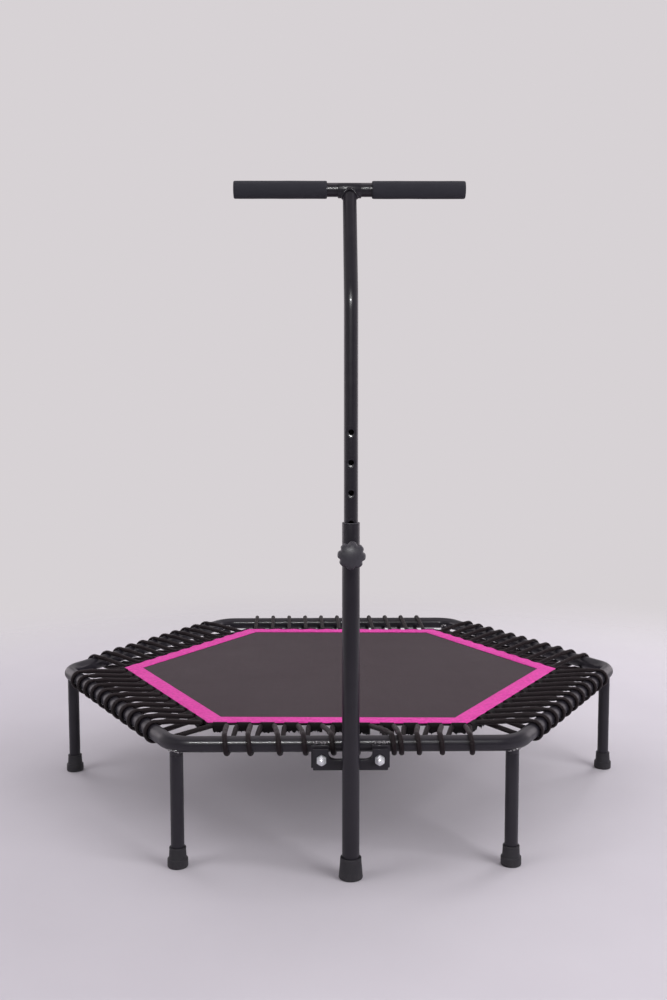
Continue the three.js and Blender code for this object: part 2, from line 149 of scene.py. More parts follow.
def middle(node):
    low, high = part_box(node)
    return (low + high) / 2


post_axis = middle("lower_post")
bar_middle = middle("crossbar")
lock_height = middle("lock_stem").z
facing_front = Matrix.Rotation(math.pi / 2, 3, "X")  # a piece made along +Z runs along -Y


def on_post(height):
    return Vector((post_axis.x, post_axis.y, height))


lock_place = on_post(lock_height)


def side_point(side, along, out, height, twist=0.0):
    """The point at that height, `along` one side of the hexagon and `out` from its middle."""
    heading = (side + 0.5) * STEP + twist
    x = out * math.cos(heading) - along * math.sin(heading)
    y = out * math.sin(heading) + along * math.cos(heading)
    return Vector((hub.x + x, hub.y + y, height))


# ---------- mesh tools ----------


def ring_of(place, turn, height, count, radius_at):
    """A ring of points at one height, with a radius for each angle."""
    ring = []
    for j in range(count):
        angle = 2 * math.pi * j / count
        radius = radius_at(angle)
        ring.append(place + turn @ Vector((radius * math.cos(angle), radius * math.sin(angle), height)))
    return ring


class Skin:
    """The points, faces and UVs of one piece. U runs once round and V along it in metres."""

    def __init__(self):
        self.points = []
        self.faces = []
        self.uvs = []

    def rings(self, rings, closed=False):
        """A skin through rings of points. `closed` joins the last ring to the first."""
        count = len(rings[0])
        first = len(self.points)
        for ring in rings:
            self.points.extend(ring)
        along = 0.0
        steps = len(rings) if closed else len(rings) - 1
        for i in range(steps):
            here = first + i * count
            there = first + (i + 1) % len(rings) * count
            ahead = along + (rings[(i + 1) % len(rings)][0] - rings[i][0]).length
            for j in range(count):
                k = (j + 1) % count
                self.faces.append((here + j, here + k, there + k, there + j))
                left, right = j / count, (j + 1) / count
                self.uvs += [left, along, right, along, right, ahead, left, ahead]
            along = ahead
        if not closed:
            for start in (first, first + (len(rings) - 1) * count):
                self.faces.append(tuple(range(start, start + count)))
                self.uvs += [0.5, 0.0] * count
        return self

    def turned(self, profile, place, turn=None, segments=48, closed=False):
        """A solid of revolution from (radius, height) pairs."""
        turn = turn or Matrix.Identity(3)
        rings = [ring_of(place, turn, height, segments, lambda _: radius) for radius, height in profile]
        return self.rings(rings, closed)

    def sweep(self, path, section, first_side=None, closed=False):
        """A section, (side, up) pairs or a function of the step that gives them, along a path."""
        rings = []
        tangents = path_tangents(path, closed)
        side = first_side or tangents[0].orthogonal()
        for i, point in enumerate(path):
            if i:
                side = tangents[i - 1].rotation_difference(tangents[i]) @ side
            side = (side - tangents[i] * side.dot(tangents[i])).normalized()
            up = tangents[i].cross(side)
            outline = section(i) if callable(section) else section
            rings.append([point + side * a + up * b for a, b in outline])
        return self.rings(rings, closed)


def path_tangents(path, closed=False):
    tangents = []
    last = len(path) - 1
    for i in range(len(path)):
        before = path[i - 1] if i or closed else path[0]
        after = path[(i + 1) % len(path)] if i < last or closed else path[last]
        tangents.append((after - before).normalized())
    return tangents


def circle(radius, count):
    return [
        (radius * math.cos(2 * math.pi * j / count), radius * math.sin(2 * math.pi * j / count))
        for j in range(count)
    ]


def rounded(points, radius, steps=4, closed=False):
    """The same line with each corner replaced by a small curve. Points are tuples or Vectors."""
    corners = [Vector(p) for p in points]
    count = len(corners)
    smooth = []
    for i, corner in enumerate(corners):
        if not closed and i in (0, count - 1):
            smooth.append(corner)
            continue
        before = corners[i - 1] - corner
        after = corners[(i + 1) % count] - corner
        start = corner + before.normalized() * min(radius, before.length * 0.45)
        end = corner + after.normalized() * min(radius, after.length * 0.45)
        for step in range(steps + 1):
            t = step / steps
            smooth.append(start * (1 - t) ** 2 + corner * 2 * t * (1 - t) + end * t**2)
    return smooth


def profile(points, radius, closed=False, steps=3):
    """The outline of a turned piece, (radius, height) pairs, with its corners rounded."""
    return [tuple(p) for p in rounded(points, radius, steps, closed)]


def wall(inner, outer, low, high, radius, steps=3):
    """The closed outline of a tube's wall."""
    return profile([(inner, low), (outer, low), (outer, high), (inner, high)], radius, True, steps)


def spaced(path, step):
    """The path again, with points about `step` apart."""
    lengths = [0.0]
    for a, b in zip(path, path[1:]):
        lengths.append(lengths[-1] + (b - a).length)
    count = max(2, round(lengths[-1] / step))
    result = []
    i = 0
    for n in range(count + 1):
        target = lengths[-1] * n / count
        while i < len(path) - 2 and lengths[i + 1] < target:
            i += 1
        span = max(lengths[i + 1] - lengths[i], 1e-9)
        result.append(path[i].lerp(path[i + 1], (target - lengths[i]) / span))
    return result


def added(name, data):
    """A new object of that mesh, curve, light or camera, in the scene."""
    piece = bpy.data.objects.new(name, data)
    bpy.context.scene.collection.objects.link(piece)
    return piece


def object_of(name, mesh, look, body, sharp):
    """One object of the cleaned mesh. A look is a material and its slot."""
    work = bmesh.new()
    work.from_mesh(mesh)
    bmesh.ops.remove_doubles(work, verts=work.verts, dist=1e-6)
    bmesh.ops.recalc_face_normals(work, faces=work.faces)
    work.to_mesh(mesh)
    work.free()
    mesh.polygons.foreach_set("use_smooth", [True] * len(mesh.polygons))
    mesh.set_sharp_from_angle(angle=math.radians(sharp))
    material, slot = look
    mesh.materials.clear()
    mesh.materials.append(material)
    piece = added(name, mesh)
    if body:
        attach(piece, body)
    return piece


def piece_of(name, skin, look, body="frame", sharp=38):
    """Makes the skin one object."""
    mesh = bpy.data.meshes.new(name)
    mesh.from_pydata([tuple(p) for p in skin.points], [], skin.faces)
    mesh.uv_layers.new(name="along").data.foreach_set("uv", skin.uvs)
    return object_of(name, mesh, look, body, sharp)


def turned_piece(name, outline, place, look, turn=None, segments=48, closed=False, body="frame"):
    """A solid of revolution as one object, or a tube where the outline is closed."""
    return piece_of(name, Skin().turned(outline, place, turn, segments, closed), look, body)


def cut(piece, cutters):
    """Subtracts the cutters from the piece and removes them."""
    for cutter in cutters:
        modifier = piece.modifiers.new("cut", "BOOLEAN")
        modifier.operation = "DIFFERENCE"
        modifier.object = cutter
    shown = piece.evaluated_get(bpy.context.evaluated_depsgraph_get())
    mesh = bpy.data.meshes.new_from_object(shown)
    piece.modifiers.clear()
    piece.data = mesh
    mesh.set_sharp_from_angle(angle=math.radians(30))
    for cutter in cutters:
        bpy.data.objects.remove(cutter)


def weld_bead(skin, path, radius, closed=False, seed=0.0):
    """A lumpy bead with the ripples that a welder's steps leave."""
    travelled = 0.0
    radii = []
    for i, point in enumerate(path):
        if i:
            travelled += (point - path[i - 1]).length
        wave = abs(math.sin(math.pi * travelled / WELD_RIPPLE))
        lump = noise.noise(point * 140 + Vector((seed, 0, 0)))
        radii.append(radius * (0.86 + 0.2 * wave + 0.22 * lump))
    return skin.sweep(path, lambda i: circle(radii[i], 12), closed=closed)


# ---------- shader tools ----------


class Nodes:
    """Short ways to make and join the nodes of one shader tree."""

    def __init__(self, tree):
        self.tree = tree

    def node(self, kind, inputs=None, **settings):
        node = self.tree.nodes.new("ShaderNode" + kind)
        for key, value in settings.items():
            setattr(node, key, value)
        for key, value in (inputs or {}).items():
            self.feed(node.inputs[key], value)
        return node

    def feed(self, socket, value):
        if isinstance(value, bpy.types.NodeSocket):
            self.tree.links.new(value, socket)
        else:
            socket.default_value = value

    def blend(self, factor, low, high):
        """A mix of two colours, each a socket or its red, green and blue."""
        node = self.node("Mix", {"Factor": factor}, data_type="RGBA")
        for key, colour in (("A", low), ("B", high)):
            self.feed(node.inputs[key], (*colour, 1.0) if isinstance(colour, tuple) else colour)
        return node.outputs["Result"]

    def span(self, value, low, high, to_low=0.0, to_high=1.0, ease="LINEAR"):
        inputs = {"Value": value, "From Min": low, "From Max": high, "To Min": to_low, "To Max": to_high}
        return self.node("MapRange", inputs, interpolation_type=ease).outputs["Result"]

    def parts(self, vector):
        split = self.node("SeparateXYZ", {0: vector})
        return split.outputs["X"], split.outputs["Y"], split.outputs["Z"]


class Finish(Nodes):
    """One procedural material, built from nodes in the piece's own coordinates."""

    def __init__(self, name, slot=None, **inputs):
        self.material = bpy.data.materials.new(name)
        self.material.use_nodes = True
        super().__init__(self.material.node_tree)
        self.look = self.material, slot
        self.shader = self.tree.nodes["Principled BSDF"]
        for key, value in inputs.items():
            self.give(key.replace("_", " "), value)
        place = self.node("TexCoord")
        self.place = place.outputs["Object"]
        self.uv = place.outputs["UV"]

    def give(self, key, value):
        self.feed(self.shader.inputs[key], value)

    def math(self, operation, a, b=0.0):
        return self.node("Math", {0: a, 1: b}, operation=operation).outputs[0]

    def plus(self, a, b):
        return self.math("ADD", a, b)

    def times(self, a, b):
        return self.math("MULTIPLY", a, b)

    def noise(self, scale, detail=3.0, roughness=0.55, vector=None):
        inputs = {"Vector": vector or self.place, "Scale": scale, "Detail": detail, "Roughness": roughness}
        return self.node("TexNoise", inputs).outputs["Fac"]

    def cells(self, scale):
        return self.node("TexVoronoi", {"Vector": self.place, "Scale": scale}).outputs["Distance"]

    def stretched(self, *scale):
        """Coordinates scaled by a different number on each axis."""
        return self.node("Mapping", {"Vector": self.place, "Scale": scale}).outputs["Vector"]

    def colour(self, factor, low, high):
        self.give("Base Color", self.blend(factor, low, high))

    def roughness(self, value, low, high, to_low, to_high):
        self.give("Roughness", self.span(value, low, high, to_low, to_high))

    def dull_where_it_turns_away(self, specular, coat):
        """A grained coat mirrors little at a glancing angle, so both of its reflections fade out there."""
        facing = self.node("LayerWeight", {"Blend": 0.5}).outputs["Facing"]
        self.give("Specular IOR Level", self.span(facing, 0.5, 0.8, specular, 0.11))
        self.give("Coat Weight", self.span(facing, 0.5, 0.8, coat, 0.05))

    def bump(self, *layers):
        """Layers are (height, strength, depth in metres), the first one lowest."""
        normal = None
        for height, strength, depth in layers:
            inputs = {"Height": height, "Strength": strength, "Distance": depth}
            if normal:
                inputs["Normal"] = normal
            normal = self.node("Bump", inputs).outputs["Normal"]
        self.give("Normal", normal)

    def weave(self, across, along, pitch):
        """The height of a plain weave, 0 in the gaps and 1 on the crowns of the threads."""
        a = self.math("SINE", self.times(across, math.pi / pitch))
        b = self.math("SINE", self.times(along, math.pi / pitch))
        over = self.math("GREATER_THAN", self.times(a, b), 0.0)
        warp = self.times(over, self.math("ABSOLUTE", a))
        weft = self.times(self.math("SUBTRACT", 1.0, over), self.math("ABSOLUTE", b))
        return self.plus(warp, weft)


# ---------- materials ----------


def powder_coat():
    finish = Finish("powder_coat", "frame_paint", Coat_Roughness=0.05)
    patches = finish.noise(28.0, 4.0)
    finish.colour(patches, (0.0130, 0.0113, 0.0165), (0.0212, 0.0187, 0.0250))
    scuffs = finish.noise(1.0, 6.0, 0.7, finish.stretched(60.0, 60.0, 420.0))
    finish.roughness(scuffs, 0.35, 0.7, 0.3, 0.42)
    peel = finish.noise(620.0, 2.0, 0.5)
    finish.bump((peel, 0.03, 0.0003))
    finish.dull_where_it_turns_away(0.28, 0.16)
    return finish.look


def painted_weld():
    finish = Finish("painted_weld", "frame_paint", Coat_Weight=1.0, Coat_Roughness=0.04)
    grain = finish.noise(900.0, 3.0)
    # Near-white flecks painted into the bead's colour: painted glints, where light would catch the lumpy
    # weld.
    painted_glints = finish.span(finish.noise(420.0, 2.0), 0.52, 0.6)
    scale = finish.blend(grain, (0.018, 0.017, 0.020), (0.040, 0.037, 0.042))
    finish.colour(painted_glints, scale, (0.62, 0.60, 0.62))
    finish.roughness(grain, 0.3, 0.7, 0.25, 0.42)
    finish.bump((grain, 0.25, 0.0004))
    return finish.look


def plated_steel():
    finish = Finish("bright_plating", "chrome_hardware", Metallic=0.65)
    cloud = finish.noise(160.0, 4.0)
    finish.colour(cloud, (0.90, 0.91, 0.94), (0.74, 0.75, 0.79))
    finish.roughness(cloud, 0.3, 0.75, 0.28, 0.42)
    finish.bump((finish.noise(1500.0, 2.0), 0.06, 0.0002))
    return finish.look


def rubber():
    finish = Finish("moulded_rubber", "rubber_feet", Specular_IOR_Level=0.35)
    height = finish.parts(finish.place)[2]
    dust = finish.noise(220.0, 5.0, 0.7)
    near_floor = finish.span(height, 0.016, 0.001)
    dusty = finish.times(finish.span(dust, 0.42, 0.75), finish.span(near_floor, 0.0, 1.0, 0.12, 0.6))
    finish.colour(dusty, (0.022, 0.0205, 0.025), (0.085, 0.08, 0.082))
    finish.roughness(dust, 0.3, 0.7, 0.52, 0.74)
    finish.bump((finish.noise(1100.0, 3.0), 0.22, 0.0004))
    return finish.look


def moulded_plastic():
    finish = Finish(
        "moulded_plastic", "black_plastic", Coat_Weight=0.08, Coat_Roughness=0.3, Specular_IOR_Level=0.42)
    mottle = finish.noise(90.0, 4.0)
    finish.colour(mottle, (0.030, 0.028, 0.036), (0.046, 0.043, 0.054))
    finish.roughness(mottle, 0.3, 0.7, 0.44, 0.56)
    finish.bump((finish.cells(1600.0), 0.1, 0.0003))
    return finish.look


def grip_foam():
    finish = Finish(
        "grip_foam", "grip_foam", Sheen_Weight=0.03, Sheen_Roughness=0.5, Specular_IOR_Level=0.12)
    rub = finish.noise(26.0, 5.0, 0.6)
    finish.colour(rub, (0.026, 0.0255, 0.033), (0.041, 0.040, 0.050))
    finish.roughness(rub, 0.3, 0.7, 0.78, 0.92)
    dents = finish.noise(45.0, 3.0)
    finish.bump((dents, 0.25, 0.0012), (finish.cells(1250.0), 0.5, 0.0005))
    return finish.look


def jumping_fabric():
    finish = Finish(
        "jumping_fabric", "mat_fabric", Sheen_Weight=0.02, Sheen_Roughness=0.4, Specular_IOR_Level=0.14)
    x, y, _ = finish.parts(finish.place)
    threads = finish.weave(x, y, 0.0016)
    streaks = finish.noise(1.0, 5.0, 0.65, finish.stretched(9.0, 160.0, 1.0))
    columns = finish.noise(1.0, 5.0, 0.65, finish.stretched(160.0, 9.0, 1.0))
    slubs = finish.plus(finish.times(streaks, 0.5), finish.times(columns, 0.5))
    wear = finish.noise(3.2, 4.0)
    uneven = finish.span(slubs, 0.35, 0.65, 0.7, 1.0)
    # The colour darkens where the weave dips between its threads: painted shade in the gaps, on top of the
    # slubs' own uneven tone.
    crown = finish.times(uneven, finish.span(threads, 0.2, 1.0, 0.55, 1.0))
    yarn_tone_and_gap_shade = finish.blend(crown, (0.0113, 0.0076, 0.0092), (0.050, 0.0335, 0.041))
    finish.colour(finish.span(wear, 0.4, 0.8, 0.0, 0.35), yarn_tone_and_gap_shade, (0.053, 0.038, 0.0445))
    finish.roughness(wear, 0.3, 0.7, 0.58, 0.7)
    finish.bump((slubs, 0.15, 0.0008), (threads, 0.45, 0.0004))
    return finish.look


def coated_border():
    finish = Finish("coated_border", "border_vinyl", Specular_IOR_Level=0.15)
    x, y, _ = finish.parts(finish.place)
    threads = finish.weave(x, y, 0.0009)
    blotch = finish.noise(130.0, 4.0, 0.6)
    fade = finish.noise(9.0, 3.0)
    dyed = finish.blend(finish.span(blotch, 0.32, 0.7), (0.51, 0.0145, 0.235), (0.81, 0.064, 0.452))
    finish.colour(finish.span(fade, 0.45, 0.8, 0.0, 0.3), dyed, (0.79, 0.092, 0.462))
    finish.roughness(blotch, 0.3, 0.7, 0.42, 0.6)
    finish.bump((finish.noise(120.0, 3.0), 0.3, 0.0012), (threads, 0.35, 0.0003))
    return finish.look


def border_thread():
    finish = Finish("border_thread", "border_vinyl", Sheen_Weight=0.3, Sheen_Roughness=0.4)
    round_it, along, _ = finish.parts(finish.uv)
    turns = finish.plus(finish.times(round_it, 2 * math.pi), finish.times(along, 5200.0))
    ply = finish.span(finish.math("SINE", turns), -1.0, 1.0)
    # The thread is coloured darker in the grooves between its twisted plies: painted shade.
    finish.colour(ply, (0.42, 0.012, 0.2), (0.74, 0.04, 0.4))
    finish.roughness(ply, 0.0, 1.0, 0.7, 0.5)
    finish.bump((ply, 0.4, 0.0003))
    return finish.look


def webbing():
    finish = Finish(
        "woven_webbing", "webbing", Sheen_Weight=0.02, Sheen_Roughness=0.45, Specular_IOR_Level=0.12)
    along = finish.parts(finish.uv)[1]
    rib_pitch = 0.0018
    ribs = finish.span(finish.math("SINE", finish.times(along, 2 * math.pi / rib_pitch)), -1.0, 1.0)
    fuzz = finish.noise(500.0, 4.0, 0.7)
    # Darker between the ribs, where the weave dips: painted shade, mixed with the fuzz's random tone.
    body = finish.plus(finish.times(ribs, 0.6), finish.times(fuzz, 0.4))
    finish.colour(body, (0.0022, 0.0018, 0.002), (0.0110, 0.0090, 0.0100))
    finish.roughness(fuzz, 0.3, 0.7, 0.66, 0.85)
    finish.bump((ribs, 0.5, 0.0005), (fuzz, 0.3, 0.0004))
    return finish.look


def braided_sheath():
    finish = Finish(
        "braided_sheath", "bungee_cord", Sheen_Weight=0.035, Sheen_Roughness=0.4, Specular_IOR_Level=0.16)
    round_it, along, _ = finish.parts(finish.uv)
    carriers, lay = 10, 0.0031
    turn = finish.times(round_it, carriers * 2 * math.pi)
    climb = finish.times(along, 2 * math.pi / lay)
    one_way = finish.math("SINE", finish.plus(turn, climb))
    other_way = finish.math("SINE", finish.math("SUBTRACT", turn, climb))
    plait = finish.span(finish.times(one_way, other_way), -1.0, 1.0)
    fleck = finish.noise(260.0, 4.0, 0.65)
    # Darker in the grooves between the braid's strands: painted shade, times the flecks' random tone.
    plait_shade_and_flecks = finish.times(finish.span(plait, 0.1, 0.9, 0.45, 1.0), finish.span(fleck, 0.3, 0.75, 0.55, 1.0))
    finish.colour(plait_shade_and_flecks, (0.0034, 0.0022, 0.0027), (0.0205, 0.0128, 0.0155))
    finish.roughness(plait, 0.0, 1.0, 0.7, 0.4)
    finish.bump((plait, 0.55, 0.0006), (fleck, 0.2, 0.0003))
    return finish.look


# ---------- frame ----------


def towards(angle):
    """One metre from the middle of the hexagon, at that angle."""
    return Vector((math.cos(angle), math.sin(angle), 0))


def bend_middle(corner):
    """The middle of the frame's bend at that corner."""
    return hub + towards(corner * STEP) * ((apothem - CORNER_RADIUS) / math.cos(STEP / 2))


def frame_path():
    """The closed centre line of the frame's tube."""
    path = []
    bend_steps, straight_steps = 14, 10
    length = 2 * (apothem - CORNER_RADIUS) * math.tan(STEP / 2)
    for corner in range(SIDES):
        for step in range(bend_steps + 1):
            angle = STEP * (corner + step / bend_steps - 0.5)
            path.append(bend_middle(corner) + towards(angle) * CORNER_RADIUS)
        for step in range(1, straight_steps):
            along = length * (step / straight_steps - 0.5)
            path.append(side_point(corner, along, apothem, hub.z))
    return path


def frame_ring(paint):
    skin = Skin().sweep(frame_path(), circle(TUBE_RADIUS, 48), Vector((0, 0, 1)), closed=True)
    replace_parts(piece_of("frame_tube", skin, paint), "frame_ring")


def leg_place(corner):
    return hub + towards(corner * STEP) * LEG_REACH


def stub_seam(corner):
    """Where the upright stub meets the bent tube, as a closed line round the stub."""
    seam = []
    count = 96
    for j in range(count):
        angle = corner * STEP + 2 * math.pi * j / count
        point = leg_place(corner) + towards(angle) * (LEG_RADIUS + 0.0004)
        offset = (point - bend_middle(corner)).length - CORNER_RADIUS
        rise = math.sqrt(max(TUBE_RADIUS**2 - offset**2, 0.00001))
        seam.append(point - Vector((0, 0, rise)))
    return seam


def legs(paint, weld, tread):
    stub_low, stub_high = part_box("leg_1")[1].z + GAP, hub.z - 0.002
    stud_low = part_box("leg_stub_1")[0].z
    stub_outline = profile([
        (0, stud_low), (STUD_RADIUS, stud_low), (STUD_RADIUS, stub_low),
        (LEG_RADIUS, stub_low), (LEG_RADIUS, stub_high), (0, stub_high),
    ], 0.0009)
    for corner in range(SIDES):
        number = corner + 1
        base = leg_place(corner)
        base.z = 0
        stub = turned_piece(f"leg_stub_{number}_tube", stub_outline, base, paint)
        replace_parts(stub, f"leg_stub_{number}")

        bead = weld_bead(Skin(), stub_seam(corner), LEG_WELD, closed=True, seed=number)
        piece_of(f"leg_weld_{number}", bead, weld)

        low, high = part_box(f"leg_{number}")
        inner, bore, bush_low = LEG_RADIUS - WALL, STUD_RADIUS + GAP, high.z - BUSH_LENGTH
        outline = profile([
            (inner, low.z), (LEG_RADIUS, low.z), (LEG_RADIUS, high.z), (bore, high.z), (bore, bush_low),
            (inner, bush_low),
        ], 0.0008, closed=True)
        tube = turned_piece(f"leg_tube_{number}", outline, base, paint, closed=True)
        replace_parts(tube, f"leg_{number}")

        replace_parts(leg_foot(f"leg_cap_{number}", base, tread), f"leg_foot_{number}")


def leg_foot(name, base, tread):
    """A stepped rubber cap: wide foot, narrower sleeve, and a small lip at the sleeve's mouth."""
    bore = LEG_RADIUS + GAP
    outline = profile([
        (0, 0.0006), (0.0125, 0.0006), (0.0135, 0), (0.0188, 0), (0.0196, 0.0022), (0.0195, 0.0154),
        (0.0190, 0.0166), (0.0168, 0.0170), (0.0157, 0.0350), (0.0161, 0.0358), (0.0158, 0.0379),
        (0.0152, 0.0385), (bore, 0.0385), (bore, 0.0037), (0, 0.0037),
    ], 0.0008)
    return turned_piece(name, outline, base, tread, segments=56)


# ---------- bracket ----------


def eared_outline(half, bottom, top):
    """A plate with a rounded notch between its two ears."""
    notch_half, notch_bottom, notch_radius = 0.0405, 0.2165, 0.016
    corner, ear_corner = 0.0018, 0.0015
    corners = [
        (-half, bottom, corner), (half, bottom, corner), (half, top, ear_corner),
        (notch_half, top, ear_corner), (notch_half, notch_bottom, notch_radius),
        (-notch_half, notch_bottom, notch_radius), (-notch_half, top, ear_corner), (-half, top, ear_corner),
    ]
    points = [Vector((x, z)) for x, z, _ in corners]
    outline = []
    for i, (_, _, radius) in enumerate(corners):
        trio = [points[i - 1], points[i], points[(i + 1) % len(points)]]
        outline += rounded(trio, radius, 8)[1:-1]
    return outline


def plate(name, outline, holes, paint, node):
    """A flat plate with softened edges, from an outline in X and Z, set where the CAD plate is."""
    bevel = 0.0007
    curve = bpy.data.curves.new(name, "CURVE")
    curve.dimensions = "2D"
    curve.fill_mode = "BOTH"
    curve.extrude = PLATE_THICKNESS / 2 - bevel
    curve.bevel_depth = bevel
    curve.bevel_resolution = 3
    curve.offset = -bevel
    for loop in [outline, *holes]:
        spline = curve.splines.new("POLY")
        spline.points.add(len(loop) - 1)
        spline.use_cyclic_u = True
        for knot, point in zip(spline.points, loop):
            knot.co = (point[0], point[1], 0, 1)
    shape = added(name + "_curve", curve)
    mesh = bpy.data.meshes.new_from_object(shape.evaluated_get(bpy.context.evaluated_depsgraph_get()))
    bpy.data.objects.remove(shape)
    place = Matrix.Translation((post_axis.x, middle(node).y, 0))
    mesh.transform(place @ facing_front.to_4x4())
    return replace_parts(object_of(name, mesh, paint, "frame", 38), node)


def back_middle(node):
    """The middle of the back face of a node's box."""
    place = middle(node)
    place.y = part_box(node)[1].y
    return place


def hexagon_stack(levels, place, count):
    """A skin along -Y through (height, radius) levels, each no wider than the nut's hexagon."""

    def hexagon(angle):
        return NUT_FLAT / math.cos((angle + STEP / 2) % STEP - STEP / 2)

    rings = []
    for height, radius in levels:
        rings.append(ring_of(place, facing_front, height, count, lambda a: min(radius, hexagon(a))))
    return Skin().rings(rings)


def acorn_nut(name, node, plating):
    """A hexagon nut with a dome over its front."""
    thickness, dome = 0.008, 0.0076
    levels = [
        (0.0, 0.0078), (0.0, 0.0088), (0.0009, 0.0099), (0.0068, 0.0099), (thickness, 0.0086),
        (0.0082, dome),
    ]
    for degrees in range(6, 90, 7):
        angle = math.radians(degrees)
        levels.append((thickness + dome * math.sin(angle), dome * math.cos(angle)))
    levels.append((thickness + dome, 0.0))
    skin = hexagon_stack(levels, back_middle(node), 96)
    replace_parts(piece_of(name, skin, plating, sharp=30), node)


def hexagon_bolt(name, node, plating):
    """A bolt along -Y with its chamfered head at the back."""
    low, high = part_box(node)
    length, head = high.y - low.y, 0.0062
    levels = [(0, 0.001), (0, 0.0084), (0.0011, 0.0099), (head, 0.0099), (head, BOLT_RADIUS)]
    levels += [(length, BOLT_RADIUS), (length, 0.001)]
    skin = hexagon_stack(levels, back_middle(node), 72)
    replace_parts(piece_of(name, skin, plating, sharp=30), node)


def straight_weld(skin, start, end, radius, seed):
    """Adds a bead from start to end to the skin."""
    weld_bead(skin, spaced([start, end], 0.0006), radius, seed=seed)


def bracket(paint, weld, plating):
    holes = []
    for side in (-1, 1):
        x = side * BOLT_SPACING / 2
        holes.append([(x + a, BOLT_HEIGHT + b) for a, b in circle(BOLT_HOLE_RADIUS, 32)])
    plate("frame_plate", eared_outline(*FRAME_PLATE), holes, paint, "frame_bracket")
    plate("post_plate", eared_outline(*POST_PLATE), holes, paint, "post_bracket")
    for side in ("left", "right"):
        hexagon_bolt(f"bracket_bolt_{side}_turned", f"bracket_bolt_{side}", plating)
        acorn_nut(f"acorn_nut_{side}", f"bracket_nut_{side}", plating)
    ears = Skin()
    frame_front = hub.y - apothem - TUBE_RADIUS
    for side in (-1, 1):
        for height, back, radius in ((0.2455, 0.0016, 0.0030), (0.2325, 0.0012, PLATE_WELD)):
            start = Vector((post_axis.x + side * 0.0425, frame_front + back, height))
            straight_weld(ears, start, start + Vector((side * 0.029, 0, 0)), radius, side + height * 50)
    piece_of("bracket_welds", ears, weld)
    seams = Skin()
    plate_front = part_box("post_bracket")[0].y
    for side in (-1, 1):
        start = Vector((post_axis.x + side * 0.0072, plate_front + 0.0001, 0.1995))
        straight_weld(seams, start, start + Vector((0, 0, 0.016)), PLATE_WELD, 9 + side)
    piece_of("post_welds", seams, weld)


# ---------- post ----------


def drill(height, paint):
    """A cutter for a hole through the front wall of the post or of the tube inside it."""
    outline = [(0, 0.004), (HOLE_RADIUS, 0.004), (HOLE_RADIUS, 0.02), (0, 0.02)]
    return turned_piece("drill", outline, on_post(height), paint, facing_front, 40, body=None)


def post(paint, weld, tread, plastic):
    base = on_post(0)
    low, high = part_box("lower_post")
    inner = POST_RADIUS - POST_WALL
    outline = wall(inner, POST_RADIUS, low.z, high.z, 0.0006)
    tube = turned_piece("post_tube", outline, base, paint, None, 64, True)
    cut(tube, [drill(lock_height, paint)])
    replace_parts(tube, "lower_post")

    bore = POST_RADIUS + GAP
    cap = profile([
        (0, 0.0008), (0.0150, 0.0008), (0.0160, 0), (0.0213, 0), (0.0225, 0.0022), (0.0221, 0.0060),
        (0.0196, 0.0350), (0.0199, 0.0362), (0.0194, 0.0400), (bore, 0.0400), (bore, 0.0040), (0, 0.0040),
    ], 0.0012)
    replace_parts(turned_piece("post_cap", cap, base, tread, segments=64), "post_foot")

    sleeve_low, sleeve_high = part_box("post_bushing")
    slide, sleeve_radius, lip_low = HANDLE_RADIUS + GAP, inner - GAP, high.z + GAP
    sleeve = profile([
        (slide, sleeve_low.z), (sleeve_radius, sleeve_low.z), (sleeve_radius, lip_low),
        (POST_RADIUS + 0.0001, lip_low), (POST_RADIUS - 0.0002, sleeve_high.z), (slide, sleeve_high.z),
    ], 0.0005, closed=True)
    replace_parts(turned_piece("post_sleeve", sleeve, base, plastic, None, 64, True), "post_bushing")

    outline = wall(HOLE_RADIUS, BOSS_RADIUS, 0.0135, 0.0265, 0.0008)
    boss = turned_piece("knob_boss_tube", outline, lock_place, paint, facing_front, closed=True)
    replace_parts(boss, "knob_boss")
    seam = []
    for x, z in circle(BOSS_RADIUS + 0.0007, 110):
        seam.append(lock_place + Vector((x, -math.sqrt(POST_RADIUS**2 - x**2), z)))
    piece_of("knob_boss_weld", weld_bead(Skin(), seam, BOSS_WELD, closed=True, seed=3), weld)


# ---------- lock ----------


def lock(plating, plastic):
    tip = HANDLE_RADIUS + GAP
    nose = profile([
        (0, tip), (0.003, tip), (0.004, tip + 0.001), (0.004, tip + 0.007), (0, tip + 0.007),
    ], 0.0003)
    pin = turned_piece("pin_nose", nose, lock_place, plating, facing_front, 32, body="lock_pin")
    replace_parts(pin, "lock_pin")
    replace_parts(screw(plating), "lock_stem")
    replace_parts(knob(plastic), "lock_knob")


def screw(plating):
    """The knob's stem with its thread cut as rings of a fine pitch."""
    low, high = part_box("lock_stem")
    start, end = lock_place.y - high.y, lock_place.y - low.y
    root = STEM_RADIUS - SCREW_DEPTH
    outline = [(0, start), (root, start)]
    for turn in range(int((end - start) / SCREW_PITCH)):
        foot = start + turn * SCREW_PITCH
        outline += [(root, foot), (STEM_RADIUS, foot + SCREW_PITCH / 2)]
    outline += [(root, end), (0, end)]
    skin = Skin().turned(outline, lock_place, facing_front, 32)
    return piece_of("threaded_stem", skin, plating, "lock_knob", 60)


